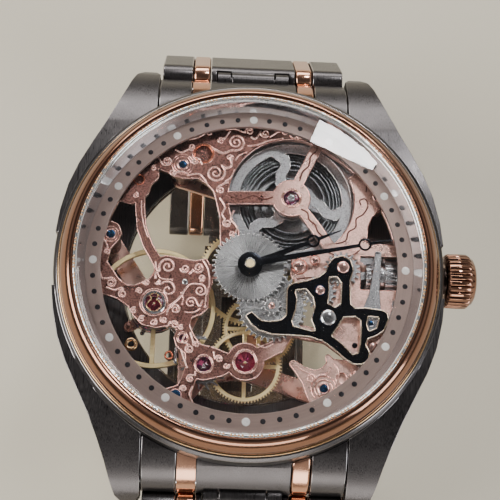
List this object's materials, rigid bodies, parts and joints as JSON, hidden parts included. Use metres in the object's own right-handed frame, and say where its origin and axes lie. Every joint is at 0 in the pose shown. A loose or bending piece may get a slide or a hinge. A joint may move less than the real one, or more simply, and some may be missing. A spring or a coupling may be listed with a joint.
{
  "type": "skeleton wristwatch",
  "caption": "Round hand-wound skeleton wristwatch with an open engraved movement, a pierced-ring pair of hands, lugs and a hinged steel bracelet with a folding clasp.",
  "frame": {"origin": "centre of the case back's outer face", "axes": "+Z out through the crystal, +Y towards 12 o'clock, +X towards the crown"},
  "size_m": [0.047, 0.065, 0.0476],
  "materials": {
    "case_steel": "brushed dark grey steel",
    "polished_steel": "mirror-polished steel",
    "rose_gold": "polished rose-gold plating",
    "rose_plate": "rose-gold plated, engraved scrolls on a stippled ground",
    "train_brass": "gilt brass, circular grained",
    "grained_steel": "fine-grained grey steel",
    "black_steel": "black polished steel",
    "blued_steel": "heat-blued steel",
    "ruby": "polished synthetic ruby",
    "clear_crystal": "clear polished crystal",
    "mauve_ring": "satin mauve-brown lacquer with printed dots",
    "gasket": "moulded nylon"
  },
  "bodies": {
    "case": {"case_middle": "case_steel", "bezel": "rose_gold", "crystal": "clear_crystal", "case_gaskets": "gasket", "rehaut_ring": "polished_steel", "chapter_ring": "mauve_ring", "case_back": "case_steel", "case_back_glass": "clear_crystal", "spring_bars": "polished_steel", "setting_cover": "black_steel", "main_plate": "rose_plate", "barrel_bridge": "rose_plate", "train_bridge": "rose_plate", "balance_cock": "rose_plate", "pallet_cock": "rose_plate", "movement_screws": "blued_steel", "train_jewels": "ruby", "shock_settings": "polished_steel", "end_links": "case_steel"},
    "winding": {"winding_pinion": "polished_steel"},
    "crown_and_stem": {"crown": "rose_gold", "winding_stem": "polished_steel"},
    "clutch": {"sliding_pinion": "polished_steel"},
    "setting_lever": {"setting_lever": "grained_steel"},
    "yoke": {"yoke": "grained_steel"},
    "crown_wheel": {"crown_wheel": "polished_steel"},
    "ratchet": {"ratchet_wheel": "polished_steel", "barrel_arbor": "polished_steel"},
    "click": {"click": "polished_steel"},
    "barrel": {"barrel_drum": "grained_steel", "barrel_cover": "grained_steel", "mainspring": "grained_steel"},
    "centre": {"centre_wheel": "train_brass", "cannon_pinion": "grained_steel", "minute_hand": "black_steel"},
    "third": {"third_wheel": "train_brass"},
    "fourth": {"fourth_wheel": "train_brass"},
    "escape": {"escape_wheel": "grained_steel"},
    "pallets": {"pallet_fork": "polished_steel"},
    "balance": {"balance_wheel": "train_brass", "hairspring": "blued_steel"},
    "regulator": {"regulator": "polished_steel"},
    "minute_work": {"minute_wheel": "grained_steel"},
    "hour_work": {"hour_wheel": "grained_steel", "hour_hand": "black_steel"},
    "setting": {"setting_wheel": "grained_steel"},
    "intermediate": {"intermediate_wheel": "grained_steel"},
    "row_12_1": {"link_12_1": "case_steel"},
    "row_12_2": {"link_12_2": "case_steel"},
    "row_12_3": {"link_12_3": "case_steel"},
    "row_12_4": {"link_12_4": "case_steel"},
    "row_12_5": {"link_12_5": "case_steel"},
    "row_6_1": {"link_6_1": "case_steel"},
    "row_6_2": {"link_6_2": "case_steel"},
    "row_6_3": {"link_6_3": "case_steel"},
    "row_6_4": {"link_6_4": "case_steel"},
    "row_6_5": {"link_6_5": "case_steel"},
    "clasp": {"clasp_cover": "case_steel"},
    "long_blade": {"clasp_blade_long": "polished_steel"},
    "short_blade": {"clasp_blade_short": "polished_steel"}
  },
  "joints": [
    {"name": "centre_turn", "type": "hinge", "parent": "case", "child": "centre", "pos_m": [0, 0, 0.005], "axis": [0, 0, 1], "continuous": true},
    {"name": "barrel_turn", "type": "hinge", "parent": "case", "child": "barrel", "pos_m": [0.0045, 0.00835, 0.004], "axis": [0, 0, 1], "continuous": true, "deforming": ["mainspring"]},
    {"name": "third_turn", "type": "hinge", "parent": "case", "child": "third", "pos_m": [0.00131, -0.00616, 0.0037], "axis": [0, 0, 1], "continuous": true},
    {"name": "fourth_turn", "type": "hinge", "parent": "case", "child": "fourth", "pos_m": [-0.0002, -0.0104, 0.0044], "axis": [0, 0, 1], "continuous": true},
    {"name": "escape_turn", "type": "hinge", "parent": "case", "child": "escape", "pos_m": [-0.0046, -0.0108, 0.005], "axis": [0, 0, 1], "continuous": true},
    {"name": "minute_work_turn", "type": "hinge", "parent": "case", "child": "minute_work", "pos_m": [0.0025, -0.00433, 0.0068], "axis": [0, 0, 1], "continuous": true},
    {"name": "hour_turn", "type": "hinge", "parent": "case", "child": "hour_work", "pos_m": [0, 0, 0.0072], "axis": [0, 0, 1], "continuous": true},
    {"name": "setting_turn", "type": "hinge", "parent": "case", "child": "setting", "pos_m": [0.0077, -0.0025, 0.0068], "axis": [0, 0, 1], "continuous": true},
    {"name": "intermediate_turn", "type": "hinge", "parent": "case", "child": "intermediate", "pos_m": [0.0102, 0.0002, 0.0068], "axis": [0, 0, 1], "continuous": true},
    {"name": "crown_turn", "type": "hinge", "parent": "case", "child": "winding", "pos_m": [0.0158, 0, 0.0048], "axis": [1, 0, 0], "continuous": true},
    {"name": "crown_pull", "type": "slide", "parent": "winding", "child": "crown_and_stem", "axis": [1, 0, 0], "range_m": [0, 0.001]},
    {"name": "clutch_slide", "type": "slide", "parent": "winding", "child": "clutch", "axis": [-1, 0, 0], "range_m": [0, 0.0008]},
    {"name": "setting_lever_swing", "type": "hinge", "parent": "case", "child": "setting_lever", "pos_m": [0.0162, -0.0036, 0.0068], "axis": [0, 0, -1], "range_deg": [0, 17]},
    {"name": "yoke_swing", "type": "hinge", "parent": "case", "child": "yoke", "pos_m": [0.0133, -0.0058, 0.0068], "axis": [0, 0, 1], "range_deg": [0, 8.3]},
    {"name": "crown_wheel_turn", "type": "hinge", "parent": "case", "child": "crown_wheel", "pos_m": [0.0122, 0.0012, 0.0025], "axis": [0, 0, 1], "continuous": true},
    {"name": "ratchet_turn", "type": "hinge", "parent": "case", "child": "ratchet", "pos_m": [0.0045, 0.00835, 0.0025], "axis": [0, 0, 1], "continuous": true},
    {"name": "click_swing", "type": "hinge", "parent": "case", "child": "click", "pos_m": [-0.0026, 0.0132, 0.0025], "axis": [0, 0, 1], "range_deg": [0, 8], "stiffness_Nm_per_rad": 0.0002},
    {"name": "pallet_swing", "type": "hinge", "parent": "case", "child": "pallets", "pos_m": [-0.007, -0.008, 0.005], "axis": [0, 0, 1], "range_deg": [-6, 6]},
    {"name": "balance_swing", "type": "hinge", "parent": "case", "child": "balance", "pos_m": [-0.01025, -0.0042, 0.0042], "axis": [0, 0, 1], "range_deg": [-150, 150], "stiffness_Nm_per_rad": 0.0000013, "deforming": ["hairspring"]},
    {"name": "regulator_turn", "type": "hinge", "parent": "case", "child": "regulator", "pos_m": [-0.01025, -0.0042, 0.0014], "axis": [0, 0, 1], "range_deg": [-12, 12]},
    {"name": "row_12_1_hinge", "type": "hinge", "parent": "case", "child": "row_12_1", "pos_m": [0, 0.0244, 0.003], "axis": [1, 0, 0], "range_deg": [0, 54]},
    {"name": "row_12_2_hinge", "type": "hinge", "parent": "row_12_1", "child": "row_12_2", "pos_m": [0, 0.02969, -0.00428], "axis": [1, 0, 0], "range_deg": [0, 26]},
    {"name": "row_12_3_hinge", "type": "hinge", "parent": "row_12_2", "child": "row_12_3", "pos_m": [0, 0.03125, -0.01314], "axis": [1, 0, 0], "range_deg": [0, 24]},
    {"name": "row_12_4_hinge", "type": "hinge", "parent": "row_12_3", "child": "row_12_4", "pos_m": [0, 0.02908, -0.02188], "axis": [1, 0, 0], "range_deg": [0, 24]},
    {"name": "row_12_5_hinge", "type": "hinge", "parent": "row_12_4", "child": "row_12_5", "pos_m": [0, 0.02353, -0.02897], "axis": [1, 0, 0], "range_deg": [0, 22]},
    {"name": "row_6_1_hinge", "type": "hinge", "parent": "case", "child": "row_6_1", "pos_m": [0, -0.0244, 0.003], "axis": [-1, 0, 0], "range_deg": [0, 54]},
    {"name": "row_6_2_hinge", "type": "hinge", "parent": "row_6_1", "child": "row_6_2", "pos_m": [0, -0.02969, -0.00428], "axis": [-1, 0, 0], "range_deg": [0, 26]},
    {"name": "row_6_3_hinge", "type": "hinge", "parent": "row_6_2", "child": "row_6_3", "pos_m": [0, -0.03125, -0.01314], "axis": [-1, 0, 0], "range_deg": [0, 24]},
    {"name": "row_6_4_hinge", "type": "hinge", "parent": "row_6_3", "child": "row_6_4", "pos_m": [0, -0.02908, -0.02188], "axis": [-1, 0, 0], "range_deg": [0, 24]},
    {"name": "row_6_5_hinge", "type": "hinge", "parent": "row_6_4", "child": "row_6_5", "pos_m": [0, -0.02353, -0.02897], "axis": [-1, 0, 0], "range_deg": [0, 22]},
    {"name": "clasp_hinge", "type": "hinge", "parent": "row_6_5", "child": "clasp", "pos_m": [0, -0.01574, -0.03347], "axis": [-1, 0, 0], "range_deg": [0, 30]},
    {"name": "long_blade_hinge", "type": "hinge", "parent": "clasp", "child": "long_blade", "pos_m": [0, 0.0116, -0.03447], "axis": [-1, 0, 0], "range_deg": [0, 90]},
    {"name": "short_blade_hinge", "type": "hinge", "parent": "long_blade", "child": "short_blade", "pos_m": [0, -0.0104, -0.03367], "axis": [1, 0, 0], "range_deg": [0, 90]}
  ],
  "couplings": [
    {"joint": "barrel_turn", "follows": "centre_turn", "ratio": -0.15385},
    {"joint": "third_turn", "follows": "centre_turn", "ratio": -8},
    {"joint": "fourth_turn", "follows": "centre_turn", "ratio": 60},
    {"joint": "escape_turn", "follows": "centre_turn", "ratio": -600},
    {"joint": "minute_work_turn", "follows": "centre_turn", "ratio": -0.33333},
    {"joint": "hour_turn", "follows": "centre_turn", "ratio": 0.083333},
    {"joint": "setting_turn", "follows": "centre_turn", "ratio": 0.70588},
    {"joint": "intermediate_turn", "follows": "centre_turn", "ratio": -0.66667},
    {"joint": "clutch_slide", "follows": "crown_pull", "ratio": 0.8},
    {"joint": "setting_lever_swing", "follows": "crown_pull", "rad_per_m": 289.72},
    {"joint": "yoke_swing", "follows": "crown_pull", "rad_per_m": 141.37},
    {"joint": "crown_wheel_turn", "follows": "crown_turn", "ratio": 0.4},
    {"joint": "ratchet_turn", "follows": "crown_turn", "ratio": -0.24615}
  ]
}
